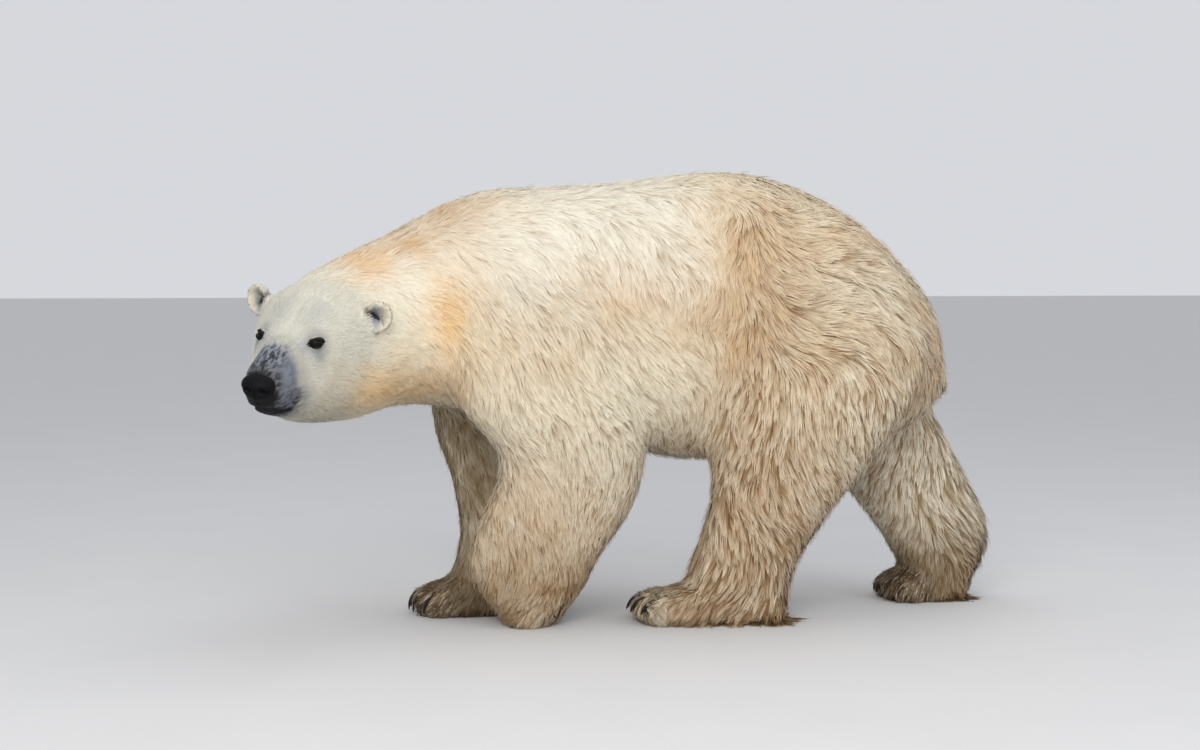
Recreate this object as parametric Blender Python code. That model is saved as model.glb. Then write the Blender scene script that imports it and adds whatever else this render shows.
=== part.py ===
"""Polar bear, life size, walking with its head turned to its left: a still museum model.

Metres, +Z up.  The bear faces -X, its left side is -Y and it stands on z = 0.  The flesh is
lofted through sections, grown together into one body and then parted with thin cuts into
the parts that a person would name.  The outline is the outline of the coat's tips.
"""
import math

import bmesh
import bpy
import numpy as np
from mathutils import Matrix, Vector

# ---- driving dimensions ---------------------------------------------------------------
GAP = 0.0003                # space left between two parts that touch
SPACE = 4.0                 # size of a cutting block that reaches past everything
RING = 28                   # points round each section of a loft
STEPS = 4                   # loft rings made between two sections
VOXEL = 0.010               # grid on which the lofts grow together
FLESH_TRIANGLES = 3280      # of the whole body before it is parted

EYE_LINE = Vector((-0.830, -0.450, 0.704))   # midway between the eyes
HEAD_YAW = 70.5             # degrees from straight ahead, towards the bear's left
HEAD_PITCH = -11.0          # nose down
HEAD_ROLL = 7.9             # left ear down
EYE_RADIUS = 0.0165
EYE_SPREAD = 0.062          # each eye from the middle of the head
EYE_FORWARD = 0.004
EYE_UP = 0.037

EAR_FORWARD = -0.166        # middle of the ear's rim, in the head's axes
EAR_SPREAD = 0.156
EAR_UP = 0.069
EAR_HEIGHT = 0.084
EAR_WIDTH = 0.076
EAR_DEPTH = 0.036           # from the rim to the back of the ear

NOSE_FORWARD = 0.185
NOSE_UP = -0.031
NOSE_RADII = (0.029, 0.039, 0.033)
MOUTH_UP = -0.082           # height of the line between the lips
MOUTH_FORWARD = 0.045       # corner of the mouth
TAIL_LENGTH = 0.130

TOES = 5
TOE_RADII = (0.050, 0.0225, 0.043)   # along the toe, across it and upright
CLAW_RADIUS = 0.0088
CLAW_DIP = 20               # degrees that a claw already points down where it starts
SOLE_SPARE = 0.012          # depth below the floor that is cut away to leave a flat sole

# Trunk and neck, from the tail end forward.  Each upright section is
# (x, y, heading in degrees, top, bottom, half width).
TRUNK = [
    (0.858, 0.00, 0, 0.700, 0.600, 0.030),    # buttocks
    (0.838, 0.00, 0, 0.765, 0.550, 0.110),
    (0.800, 0.00, 0, 0.845, 0.505, 0.170),
    (0.725, 0.00, 0, 0.935, 0.465, 0.215),
    (0.605, 0.00, 0, 1.040, 0.435, 0.250),    # hips
    (0.450, 0.00, 0, 1.120, 0.415, 0.272),
    (0.290, 0.00, 0, 1.155, 0.400, 0.286),    # top of the rump
    (0.130, 0.00, 0, 1.142, 0.405, 0.292),    # belly
    (-0.040, 0.00, 0, 1.122, 0.445, 0.286),
    (-0.200, 0.00, 0, 1.114, 0.490, 0.270),   # ribs behind the shoulder
    (-0.330, 0.00, 2, 1.108, 0.515, 0.250),   # withers
    (-0.440, -0.01, 8, 1.075, 0.540, 0.222),
    (-0.530, -0.04, 22, 1.025, 0.552, 0.200),   # root of the neck
    (-0.615, -0.08, 36, 0.976, 0.548, 0.188),
    (-0.690, -0.14, 50, 0.935, 0.532, 0.190),
    (-0.740, -0.21, 62, 0.898, 0.522, 0.183),   # behind the ears
    (-0.765, -0.28, 69, 0.860, 0.530, 0.160),
]

# Head, in its own axes with the eye line at 0: (forward, top, bottom, half width).
SKULL = [
    (-0.270, 0.120, -0.180, 0.110),
    (-0.210, 0.136, -0.205, 0.145),    # back of the head
    (-0.140, 0.140, -0.208, 0.148),    # between the ears
    (-0.075, 0.122, -0.192, 0.124),    # forehead and cheeks
    (-0.025, 0.096, -0.172, 0.102),
    (0.020, 0.072, -0.152, 0.081),     # eyes
    (0.065, 0.052, -0.134, 0.060),
    (0.115, 0.036, -0.117, 0.050),     # muzzle
    (0.155, 0.024, -0.100, 0.045),
    (0.184, 0.008, -0.074, 0.037),     # the nose overhangs the chin
    (0.197, -0.012, -0.054, 0.022),
]

# Legs, from the top down: (z, front x, rear x, centre y, half width across the body).
FORELEG_LEFT = [
    (0.900, -0.330, -0.140, -0.110, 0.060),
    (0.780, -0.430, -0.040, -0.150, 0.100),   # shoulder
    (0.650, -0.455, 0.010, -0.172, 0.114),
    (0.540, -0.420, 0.035, -0.182, 0.114),
    (0.450, -0.335, 0.045, -0.184, 0.110),    # elbow
    (0.380, -0.330, 0.040, -0.176, 0.104),
    (0.300, -0.368, 0.016, -0.164, 0.098),
    (0.210, -0.402, -0.040, -0.152, 0.093),
    (0.140, -0.408, -0.085, -0.142, 0.090),   # wrist, bent
    (0.080, -0.375, -0.115, -0.136, 0.087),
    (0.035, -0.335, -0.150, -0.134, 0.080),
    (-0.004, -0.295, -0.185, -0.134, 0.060),
]
FORELEG_RIGHT = [
    (0.900, -0.350, -0.150, 0.110, 0.060),
    (0.780, -0.440, -0.060, 0.148, 0.100),
    (0.650, -0.475, -0.040, 0.158, 0.112),
    (0.540, -0.490, -0.070, 0.150, 0.110),
    (0.450, -0.475, -0.120, 0.132, 0.102),
    (0.360, -0.440, -0.150, 0.108, 0.096),
    (0.280, -0.422, -0.170, 0.088, 0.091),
    (0.200, -0.415, -0.185, 0.070, 0.088),
    (0.120, -0.430, -0.195, 0.058, 0.086),
    (0.060, -0.440, -0.205, 0.052, 0.084),
    (0.000, -0.430, -0.225, 0.052, 0.076),
]
HINDLEG_LEFT = [
    (0.880, 0.400, 0.640, -0.110, 0.070),
    (0.760, 0.290, 0.770, -0.148, 0.115),     # haunch
    (0.640, 0.235, 0.775, -0.168, 0.127),
    (0.540, 0.208, 0.725, -0.178, 0.128),
    (0.450, 0.200, 0.655, -0.180, 0.122),     # knee
    (0.370, 0.212, 0.590, -0.176, 0.113),
    (0.290, 0.203, 0.530, -0.168, 0.105),
    (0.210, 0.180, 0.470, -0.158, 0.099),
    (0.140, 0.158, 0.432, -0.152, 0.097),     # hock
    (0.070, 0.150, 0.414, -0.150, 0.096),
    (0.000, 0.150, 0.402, -0.150, 0.088),
]
HINDLEG_RIGHT = [
    (0.880, 0.420, 0.680, 0.110, 0.070),
    (0.760, 0.380, 0.815, 0.148, 0.115),
    (0.640, 0.400, 0.850, 0.165, 0.127),
    (0.540, 0.450, 0.880, 0.170, 0.125),
    (0.450, 0.510, 0.920, 0.162, 0.118),
    (0.370, 0.585, 0.962, 0.150, 0.111),
    (0.290, 0.650, 1.003, 0.138, 0.104),
    (0.210, 0.712, 1.034, 0.126, 0.099),
    (0.140, 0.760, 1.024, 0.118, 0.095),
    (0.070, 0.800, 0.985, 0.114, 0.092),
    (0.000, 0.800, 0.955, 0.114, 0.084),
]
LEGS = {"foreleg_left": FORELEG_LEFT, "foreleg_right": FORELEG_RIGHT,
        "hindleg_left": HINDLEG_LEFT, "hindleg_right": HINDLEG_RIGHT}

# A paw from heel to toes: (place along it, width as a share, height).
PAW = [
    (0.00, 0.45, 0.060),
    (0.06, 0.80, 0.085),
    (0.25, 0.95, 0.112),
    (0.45, 0.95, 0.114),
    (0.65, 1.00, 0.096),
    (0.80, 0.95, 0.078),
    (0.90, 0.75, 0.060),
    (0.93, 0.50, 0.040),
]
# Heel and toe are (x, y) on the floor; droop tips the toes down, in degrees; a claw is given
# by its length, with the root in the toe, and the angle that it bends through.
PAWS = {
    "forepaw_left": {"heel": (-0.330, -0.134), "toe": (-0.172, -0.134), "half": 0.078,
                     "toe_height": 0.032, "droop": 12, "claw": (0.052, 35)},
    "forepaw_right": {"heel": (-0.240, 0.060), "toe": (-0.538, 0.048), "half": 0.096,
                      "toe_height": 0.037, "droop": 4, "claw": (0.066, 80)},
    "hindpaw_left": {"heel": (0.410, -0.160), "toe": (0.010, -0.127), "half": 0.098,
                     "toe_height": 0.038, "droop": 4, "claw": (0.046, 55)},
    "hindpaw_right": {"heel": (0.965, 0.128), "toe": (0.726, 0.106), "half": 0.094,
                      "toe_height": 0.036, "droop": 4, "claw": (0.056, 75)},
}

# Where each limb is parted, from the top down: (point, way down the limb).
LIMB_CUTS = {
    "foreleg_left": [((-0.150, -0.18, 0.440), (-0.20, 0, -1)), ((-0.260, -0.14, 0.125), (0.35, 0, -1))],
    "foreleg_right": [((-0.290, 0.13, 0.440), (-0.10, 0, -1)), ((-0.310, 0.06, 0.125), (-0.25, 0, -1))],
    "hindleg_left": [((0.410, -0.18, 0.430), (-0.20, 0, -1)), ((0.290, -0.15, 0.130), (-0.20, 0, -1))],
    "hindleg_right": [((0.720, 0.16, 0.430), (0.35, 0, -1)), ((0.900, 0.12, 0.135), (-0.20, 0, -1))],
}


# ---- small helpers --------------------------------------------------------------------
def clear_scene():
    for thing in list(bpy.data.objects):
        bpy.data.objects.remove(thing, do_unlink=True)


def curve_through(rows, steps=STEPS):
    """Rows of numbers read from a Catmull-Rom curve that passes through the given rows."""
    rows = np.array(rows, float)
    padded = np.vstack([2 * rows[0] - rows[1], rows, 2 * rows[-1] - rows[-2]])
    out = []
    for i in range(1, len(padded) - 2):
        a, b, c, d = padded[i - 1:i + 3]
        for t in np.arange(steps) / steps:
            out.append(0.5 * (2 * b + (c - a) * t + (2 * a - 5 * b + 4 * c - d) * t * t
                              + (3 * b - a - 3 * c + d) * t ** 3))
    out.append(rows[-1])
    return np.array(out)


def oval(centre, across, along, half_across, ahead, behind, fullness=2.2):
    """One closed ring: half_across wide each way, ahead and behind the centre."""
    power = 2.0 / fullness
    ring = []
    for i in range(RING):
        angle = math.tau * i / RING
        c, s = math.cos(angle), math.sin(angle)
        u = math.copysign(abs(c) ** power, c) * half_across
        v = math.copysign(abs(s) ** power, s) * (ahead if s > 0 else behind)
        ring.append(centre + across * u + along * v)
    return ring


def skin_rings(rings, name):
    """A closed mesh object through rings of points, fanned shut at both ends."""
    shape = bmesh.new()
    loops = [[shape.verts.new(point) for point in ring] for ring in rings]
    for lower, upper in zip(loops, loops[1:]):
        for i in range(len(lower)):
            j = (i + 1) % len(lower)
            shape.faces.new((lower[i], lower[j], upper[j], upper[i]))
    for loop in (loops[0], loops[-1]):
        middle = sum((vert.co for vert in loop), Vector()) / len(loop)
        hub = shape.verts.new(middle)
        for i in range(len(loop)):
            shape.faces.new((loop[i], loop[(i + 1) % len(loop)], hub))
    bmesh.ops.recalc_face_normals(shape, faces=shape.faces)
    return to_object(shape, name)


def to_object(shape, name):
    mesh = bpy.data.meshes.new(name)
    shape.to_mesh(mesh)
    shape.free()
    thing = bpy.data.objects.new(name, mesh)
    bpy.context.collection.objects.link(thing)
    return thing


def ellipsoid(name, centre, radii, turn=None, detail=3):
    shape = bmesh.new()
    bmesh.ops.create_icosphere(shape, subdivisions=detail, radius=1.0)
    place = Matrix.Translation(centre) @ (turn or Matrix()) @ Matrix.Diagonal((*radii, 1.0))
    bmesh.ops.transform(shape, matrix=place, verts=shape.verts)
    return to_object(shape, name)


def head_frame():
    """The head's own axes: -X forward, -Y to the bear's left, +Z up, from the eye line."""
    turn = Matrix.Rotation(math.radians(HEAD_YAW), 4, "Z")
    turn = turn @ Matrix.Rotation(math.radians(HEAD_PITCH), 4, "Y")
    turn = turn @ Matrix.Rotation(math.radians(HEAD_ROLL), 4, "X")
    return Matrix.Translation(EYE_LINE) @ turn


def on_head(forward, left, up):
    return head_frame() @ Vector((-forward, -left, up))


# ---- the flesh ------------------------------------------------------------------------
def make_trunk():
    rings = []
    for x, y, heading, top, bottom, half in curve_through(TRUNK):
        turn = math.radians(heading)
        across = Vector((-math.sin(turn), math.cos(turn), 0.0))
        widest = bottom + 0.46 * (top - bottom)
        rings.append(oval(Vector((x, y, widest)), across, Vector((0, 0, 1)), half,
                          top - widest, widest - bottom, 2.15))
    return skin_rings(rings, "trunk_form")


def make_skull():
    turn = head_frame().to_3x3()
    rings = []
    for forward, top, bottom, half in curve_through(SKULL):
        widest = bottom + 0.48 * (top - bottom)
        rings.append(oval(on_head(forward, 0, widest), turn @ Vector((0, 1, 0)),
                          turn @ Vector((0, 0, 1)), half, top - widest, widest - bottom, 2.3))
    return skin_rings(rings, "skull_form")


def make_leg(sections, name):
    rings = []
    for z, front, rear, y, half in curve_through(sections):
        middle = 0.5 * (front + rear)
        rings.append(oval(Vector((middle, y, z)), Vector((0, 1, 0)), Vector((1, 0, 0)), half,
                          rear - middle, middle - front, 2.3))
    return skin_rings(rings, name)


def toe_places(paw):
    """Centre of each toe of a paw, the outer ones set back, and the way they point."""
    heel, toe = Vector((*paw["heel"], 0)), Vector((*paw["toe"], 0))
    forward = (toe - heel).normalized()
    across = Vector((-forward.y, forward.x, 0))
    for i in range(TOES):
        spread = (i - (TOES - 1) / 2) / ((TOES - 1) / 2)
        reach = (toe - heel).length - TOE_RADII[0] - 0.032 * spread * spread
        centre = heel + forward * reach + across * (spread * paw["half"] * 0.78)
        centre.z = paw["toe_height"]
        yield centre, (forward + across * 0.12 * spread).normalized()


def make_toes(name, paw):
    forms = []
    for centre, forward in toe_places(paw):
        turn = (-forward).to_track_quat("X", "Z").to_matrix().to_4x4()
        turn = turn @ Matrix.Rotation(math.radians(paw["droop"]), 4, "Y")
        forms.append(ellipsoid(name + "_toe", centre, TOE_RADII, turn))
    return forms


def make_paw(name, paw):
    """A paw set down on its sole."""
    heel, toe = Vector((*paw["heel"], 0)), Vector((*paw["toe"], 0))
    forward = (toe - heel).normalized()
    across = Vector((-forward.y, forward.x, 0))
    rings = []
    for place, width, height in curve_through(PAW):
        centre = heel + forward * (place * (toe - heel).length)
        centre.z = 0.30 * height
        rings.append(oval(centre, across, Vector((0, 0, 1)), paw["half"] * width,
                          0.70 * height, 0.30 * height + SOLE_SPARE, 2.4))
    return [skin_rings(rings, name + "_form")] + make_toes(name, paw)


def make_flesh():
    forms = [make_trunk(), make_skull()]
    for name, sections in LEGS.items():
        forms.append(make_leg(sections, name + "_form"))
    forms += make_toes("forepaw_left", PAWS["forepaw_left"])
    for name in ("forepaw_right", "hindpaw_left", "hindpaw_right"):
        forms += make_paw(name, PAWS[name])
    return join(forms, "flesh")


def join(things, name):
    """Several objects as one mesh object."""
    whole = bmesh.new()
    for thing in things:
        whole.from_mesh(thing.data)
        bpy.data.objects.remove(thing, do_unlink=True)
    return to_object(whole, name)


def applied(thing):
    """The object with its modifiers turned into mesh."""
    graph = bpy.context.evaluated_depsgraph_get()
    mesh = bpy.data.meshes.new_from_object(thing.evaluated_get(graph))
    thing.modifiers.clear()
    thing.data = mesh
    return thing


def grow_together(flesh):
    """One closed surface from the overlapping forms, softest over the shoulders and hips."""
    remesh = flesh.modifiers.new("grow", "REMESH")
    remesh.mode = "VOXEL"
    remesh.voxel_size = VOXEL
    applied(flesh)
    face = on_head(0.06, 0, -0.03)
    soften = flesh.vertex_groups.new(name="soften")
    thinning = flesh.vertex_groups.new(name="thinning")
    for vert in flesh.data.vertices:
        head = smoothstep(0.24, 0.17, (vert.co - face).length)
        foot = smoothstep(0.20, 0.08, vert.co.z)
        soften.add([vert.index], 1.0 - 0.93 * max(head, foot), "REPLACE")
        thinning.add([vert.index], 1.0 - 0.4 * head, "REPLACE")
    smooth = flesh.modifiers.new("soften", "SMOOTH")
    smooth.factor = 0.5
    smooth.iterations = 60
    smooth.vertex_group = soften.name
    thin = flesh.modifiers.new("thin", "DECIMATE")
    thin.ratio = FLESH_TRIANGLES / triangles(flesh)
    thin.vertex_group = thinning.name
    thin.vertex_group_factor = 0.03
    thin.use_collapse_triangulate = True
    applied(flesh)
    flesh.vertex_groups.clear()
    return above_floor(flesh)


def smoothstep(low, high, value):
    t = min(max((value - low) / (high - low), 0.0), 1.0)
    return t * t * (3 - 2 * t)


def triangles(thing):
    return sum(len(face.vertices) - 2 for face in thing.data.polygons)


def above_floor(flesh):
    """Every foot ends in a flat at floor level."""
    return keep_side(flesh, Vector(), Vector((0, 0, 1)))


# ---- parting --------------------------------------------------------------------------
def box_ahead(point, normal):
    """A block that fills the space on the normal's side of a plane."""
    shape = bmesh.new()
    bmesh.ops.create_cube(shape, size=SPACE)
    turn = normal.to_track_quat("X", "Z").to_matrix().to_4x4()
    place = Matrix.Translation(point + normal * SPACE / 2) @ turn
    bmesh.ops.transform(shape, matrix=place, verts=shape.verts)
    return to_object(shape, "box_ahead")


def boolean(thing, cutter, operation, keep_cutter=False):
    step = thing.modifiers.new(operation.lower(), "BOOLEAN")
    step.operation = operation
    step.object = cutter
    step.solver = "EXACT"
    applied(thing)
    if not keep_cutter:
        bpy.data.objects.remove(cutter, do_unlink=True)
    return thing


def keep_side(thing, point, normal):
    """The closed mesh on the normal's side of a plane only, capped flat."""
    return boolean(thing, box_ahead(point, normal), "INTERSECT")


def part_at(thing, point, normal, name):
    """Part an object at a plane: what lies ahead of it becomes a new object."""
    normal = Vector(normal).normalized()
    ahead = copy_of(thing, name)
    keep_side(ahead, Vector(point) + normal * GAP / 2, normal)
    keep_side(thing, Vector(point) - normal * GAP / 2, -normal)
    return ahead


def largest_shell(thing):
    """Drop the slivers that a cut may leave beside the piece itself."""
    shape = bmesh.new()
    shape.from_mesh(thing.data)
    bmesh.ops.dissolve_degenerate(shape, dist=0.00002, edges=shape.edges)
    bmesh.ops.triangulate(shape, faces=shape.faces)
    unseen = set(shape.faces)
    shells = []
    while unseen:
        shell, front = set(), [unseen.pop()]
        while front:
            face = front.pop()
            shell.add(face)
            beside = {link for edge in face.edges for link in edge.link_faces} & unseen
            unseen -= beside
            front += beside
        shells.append(shell)
    shells.sort(key=lambda shell: sum(face.calc_area() for face in shell))
    spare = [face for shell in shells[:-1] for face in shell]
    bmesh.ops.delete(shape, geom=spare, context="FACES")
    shape.to_mesh(thing.data)
    shape.free()
    return thing


def copy_of(thing, name):
    twin = thing.copy()
    twin.data = thing.data.copy()
    twin.name = name
    bpy.context.collection.objects.link(twin)
    return twin


def limb_outline(low_front, front, centre, radius, rear, low_rear):
    """Side view of the block of space that a limb is cut out with: an arch on two sides."""
    points = [low_front, front]
    arc = 7
    for i in range(arc + 1):
        angle = math.pi * (1 - i / arc)
        points.append((centre[0] + radius * math.cos(angle),
                       centre[1] + radius * math.sin(angle)))
    return points + [rear, low_rear]


def limb_block(outline, inner, lean, side, grow):
    """The outline drawn out sideways, from the plane y = inner + lean * z to the open air."""
    middle = Vector((sum(p[0] for p in outline), sum(p[1] for p in outline))) / len(outline)
    edges = []
    for i, here in enumerate(outline):
        before, after = Vector(outline[i - 1]), Vector(outline[(i + 1) % len(outline)])
        along = (after - before).normalized()
        out = Vector((-along.y, along.x))
        if out.dot(Vector(here) - middle) < 0:
            out = -out
        edges.append(Vector(here) + out * grow)
    rings = []
    for reach in (0.0, 1.0):
        ring = []
        for x, z in edges:
            start = inner + lean * z - side * grow
            ring.append(Vector((x, start + (side * 0.7 - start) * reach, z)))
        rings.append(ring)
    return skin_rings(rings, "limb_block")


def take(body, block, name):
    """Cut a piece out of the body: block(grow) makes the cutter, larger by grow all round."""
    piece = copy_of(body, name)
    boolean(piece, block(0.0), "INTERSECT")
    boolean(body, block(GAP), "DIFFERENCE")
    return piece


def part_limbs(flesh):
    left_fore = limb_outline((-0.62, -0.05), (-0.52, 0.48), (-0.245, 0.70), 0.205,
                             (0.10, 0.45), (-0.05, -0.05))
    right_fore = limb_outline((-0.66, -0.05), (-0.60, 0.48), (-0.270, 0.70), 0.205,
                              (0.00, 0.45), (0.00, -0.05))
    left_hind = limb_outline((-0.06, -0.05), (0.10, 0.42), (0.535, 0.66), 0.245,
                             (0.86, 0.48), (0.86, -0.05))
    right_hind = limb_outline((0.55, -0.05), (0.36, 0.42), (0.640, 0.68), 0.215,
                              (1.20, 0.58), (1.20, -0.05))
    limbs = [("foreleg_left", left_fore, -0.045, -0.06, -1),
             ("foreleg_right", right_fore, -0.040, 0.14, 1),
             ("hindleg_left", left_hind, -0.015, -0.08, -1),
             ("hindleg_right", right_hind, 0.005, 0.08, 1)]
    pieces = []
    for name, outline, inner, lean, side in limbs:
        def block(grow):
            return limb_block(outline, inner, lean, side, grow)
        pieces.append(take(flesh, block, name))
    return pieces


def jaw_block(grow):
    """The space below the mouth line and ahead of the corners of the mouth."""
    shape = bmesh.new()
    bmesh.ops.create_cube(shape, size=0.4)
    corner = on_head(MOUTH_FORWARD - grow + 0.2, 0, MOUTH_UP + grow - 0.2)
    place = Matrix.Translation(corner) @ head_frame().to_3x3().to_4x4()
    bmesh.ops.transform(shape, matrix=place, verts=shape.verts)
    return to_object(shape, "jaw_block")


# ---- pieces set on the flesh ------------------------------------------------------------
def swollen(flesh):
    """The flesh grown by a little more than the gap, to trim what is set on it."""
    grown = copy_of(flesh, "swollen")
    normals = [vert.normal.copy() for vert in grown.data.vertices]
    for vert, normal in zip(grown.data.vertices, normals):
        vert.co += normal * GAP * 1.5
    return grown


def set_on(piece, grown):
    """Trim a piece where it would enter the flesh."""
    return largest_shell(boolean(piece, grown, "DIFFERENCE", keep_cutter=True))


def make_ear(side, name, grown):
    """A round cup that faces forward and outward and leans out from the head."""
    turn = head_frame().to_3x3() @ Matrix.Rotation(math.radians(28) * side, 3, "Z")
    turn = turn @ Matrix.Rotation(math.radians(24) * side, 3, "X")
    centre = on_head(EAR_FORWARD, EAR_SPREAD * side, EAR_UP)
    back, across, up = (turn @ Vector(axis) for axis in ((1, 0, 0), (0, 1, 0), (0, 0, 1)))
    # (radius as a share, place from the rim back as a share) from the back round to the hollow
    profile = [(0.45, 1.00), (0.78, 0.84), (0.96, 0.50), (1.00, 0.20), (0.88, 0.00),
               (0.66, 0.08), (0.44, 0.38), (0.20, 0.50)]
    rings = []
    for share, depth in profile:
        ring = oval(centre + back * (depth * EAR_DEPTH), across, up, share * EAR_WIDTH / 2,
                    share * EAR_HEIGHT / 2, share * EAR_HEIGHT / 2, 2.0)
        rings.append(ring[::2])
    return set_on(skin_rings(rings, name), grown)


def make_eye(side, name, flesh):
    """An eyeball in a socket of its own, at the bottom of the hollow of the lids."""
    centre = on_head(EYE_FORWARD, EYE_SPREAD * side, EYE_UP)
    outward = on_head(EYE_FORWARD + 0.7, (EYE_SPREAD + 0.5) * side, EYE_UP) - centre
    turn = outward.to_track_quat("X", "Z").to_matrix().to_4x4()
    lids = ellipsoid("lids", centre + outward.normalized() * 0.034, (0.030, 0.024, 0.017), turn, 2)
    socket = ellipsoid("socket", centre, [EYE_RADIUS + GAP] * 3, turn, 2)
    for cutter in (lids, socket):
        boolean(flesh, cutter, "DIFFERENCE")
    return ellipsoid(name, centre, [EYE_RADIUS] * 3, turn, 2)


def make_nose(name, grown):
    turn = head_frame().to_3x3().to_4x4()
    pad = ellipsoid(name, on_head(NOSE_FORWARD, 0, NOSE_UP), NOSE_RADII, turn, 2)
    return set_on(pad, grown)


def make_tail(name, grown):
    turn = Matrix.Rotation(math.radians(-8), 4, "Y")
    tail = ellipsoid(name, Vector((0.838, 0, 0.625)), (0.026, 0.042, TAIL_LENGTH / 2), turn, 2)
    return set_on(tail, grown)


def make_claw(name, toe, forward, claw, grown):
    """A curved cone that leaves the toe near its top and bends down over its front."""
    down = Vector((0, 0, -1))
    across = forward.cross(down)
    root = toe + forward * 0.028 - down * 0.024
    dip, bend = math.radians(CLAW_DIP), math.radians(claw[1])
    radius = claw[0] / bend
    rings = []
    for t in (0, 0.4, 0.75, 1.0):
        angle = dip + bend * t
        centre = root + forward * (radius * (math.sin(angle) - math.sin(dip)))
        centre = centre + down * (radius * (math.cos(dip) - math.cos(angle)))
        along = forward * math.cos(angle) + down * math.sin(angle)
        size = CLAW_RADIUS * (1 - 0.8 * t * t)
        ring = oval(centre, across, along.cross(across), size * 0.85, size, size, 2.0)
        rings.append(ring[::5])
    return set_on(skin_rings(rings, name), grown)


# ---- finish -----------------------------------------------------------------------------
def material_for(name):
    """A Principled material of the node's own."""
    kinds = [
        ("eye", (0.020, 0.012, 0.008), 0.08),
        ("nose", (0.012, 0.012, 0.014), 0.35),
        ("claw", (0.035, 0.030, 0.027), 0.40),
        ("ear", (0.780, 0.760, 0.690), 0.85),
        ("head", (0.850, 0.830, 0.740), 0.85),
        ("jaw", (0.700, 0.660, 0.560), 0.85),
        ("foreleg", (0.760, 0.640, 0.450), 0.90),
        ("hindleg", (0.760, 0.640, 0.450), 0.90),
        ("forepaw", (0.640, 0.500, 0.320), 0.90),
        ("hindpaw", (0.640, 0.500, 0.320), 0.90),
    ]
    colour, roughness = (0.820, 0.710, 0.520), 0.90
    for start, kind_colour, kind_roughness in kinds:
        if name.startswith(start):
            colour, roughness = kind_colour, kind_roughness
    finish = bpy.data.materials.new(name)
    finish.use_nodes = True
    shader = finish.node_tree.nodes["Principled BSDF"]
    shader.inputs["Base Color"].default_value = (*colour, 1.0)
    shader.inputs["Roughness"].default_value = roughness
    shader.inputs["Metallic"].default_value = 0.0
    return finish


def centre_on_floor(pieces):
    """Put the origin under the middle of the whole bear's box."""
    corners = [vert.co for piece in pieces for vert in piece.data.vertices]
    low = [min(co[i] for co in corners) for i in range(3)]
    high = [max(co[i] for co in corners) for i in range(3)]
    shift = Vector((-(low[0] + high[0]) / 2, -(low[1] + high[1]) / 2, -low[2]))
    for piece in pieces:
        piece.data.transform(Matrix.Translation(shift))


def main():
    clear_scene()
    flesh = grow_together(make_flesh())
    pieces = []
    for side, label in ((1, "left"), (-1, "right")):
        pieces.append(make_eye(side, "eye_" + label, flesh))
    grown = swollen(flesh)
    for side, label in ((1, "left"), (-1, "right")):
        pieces.append(make_ear(side, "ear_" + label, grown))
    pieces.append(make_nose("nose", grown))
    pieces.append(make_tail("tail", grown))
    for name, paw in PAWS.items():
        for i, (toe, forward) in enumerate(toe_places(paw)):
            claw = "claw_" + name + "_" + str(i + 1)
            pieces.append(make_claw(claw, toe, forward, paw["claw"], grown))
    bpy.data.objects.remove(grown, do_unlink=True)

    for limb in part_limbs(flesh):
        lower = part_at(limb, *LIMB_CUTS[limb.name][0], limb.name + "_lower")
        paw = part_at(lower, *LIMB_CUTS[limb.name][1], limb.name.replace("leg", "paw"))
        limb.name += "_upper"
        pieces += [limb, lower, paw]

    turn = head_frame().to_3x3()
    ahead = turn @ Vector((-1, 0, 0))
    head = part_at(flesh, on_head(-0.195, 0, 0), ahead, "head")
    jaw = take(head, jaw_block, "jaw")
    neck = part_at(flesh, (-0.470, 0, 0.8), (-0.94, -0.34, 0), "neck")
    chest = part_at(flesh, (-0.150, 0, 0.8), (-1, 0, 0), "chest")
    belly = part_at(flesh, (0.270, 0, 0.8), (-1, 0, 0), "belly")
    flesh.name = "rump"
    pieces += [flesh, belly, chest, neck, head, jaw]

    for piece in pieces:
        largest_shell(piece)
        piece.data.materials.clear()
        piece.data.materials.append(material_for(piece.name))
        piece.data.shade_smooth()
        piece.data.set_sharp_from_angle(angle=math.radians(50))
    centre_on_floor(pieces)


main()
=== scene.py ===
import math

import bmesh
import bpy
import numpy as np
from mathutils import Matrix, Vector
from mathutils.bvhtree import BVHTree
from mathutils.kdtree import KDTree


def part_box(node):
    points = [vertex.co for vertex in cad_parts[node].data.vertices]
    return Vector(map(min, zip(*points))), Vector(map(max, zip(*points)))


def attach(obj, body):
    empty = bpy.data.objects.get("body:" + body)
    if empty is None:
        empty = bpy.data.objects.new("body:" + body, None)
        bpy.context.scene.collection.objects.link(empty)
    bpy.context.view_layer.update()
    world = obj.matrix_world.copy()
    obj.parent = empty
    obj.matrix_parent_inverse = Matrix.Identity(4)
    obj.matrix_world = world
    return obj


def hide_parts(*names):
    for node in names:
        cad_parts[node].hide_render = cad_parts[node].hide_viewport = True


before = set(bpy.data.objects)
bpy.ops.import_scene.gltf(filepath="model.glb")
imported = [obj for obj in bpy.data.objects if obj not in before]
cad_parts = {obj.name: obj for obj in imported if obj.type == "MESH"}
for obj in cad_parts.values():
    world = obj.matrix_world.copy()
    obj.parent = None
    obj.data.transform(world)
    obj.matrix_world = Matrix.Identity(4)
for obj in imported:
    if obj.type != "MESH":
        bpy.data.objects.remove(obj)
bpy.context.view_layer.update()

# The looks of the polar bear: one skin in place of the flesh nodes, lying inside them by the
# depth of the coat, and over it a coat of solid tufts that reach out to the flesh's outline.
# Metres, +Z up; the bear faces -X, its left side is -Y.

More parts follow.
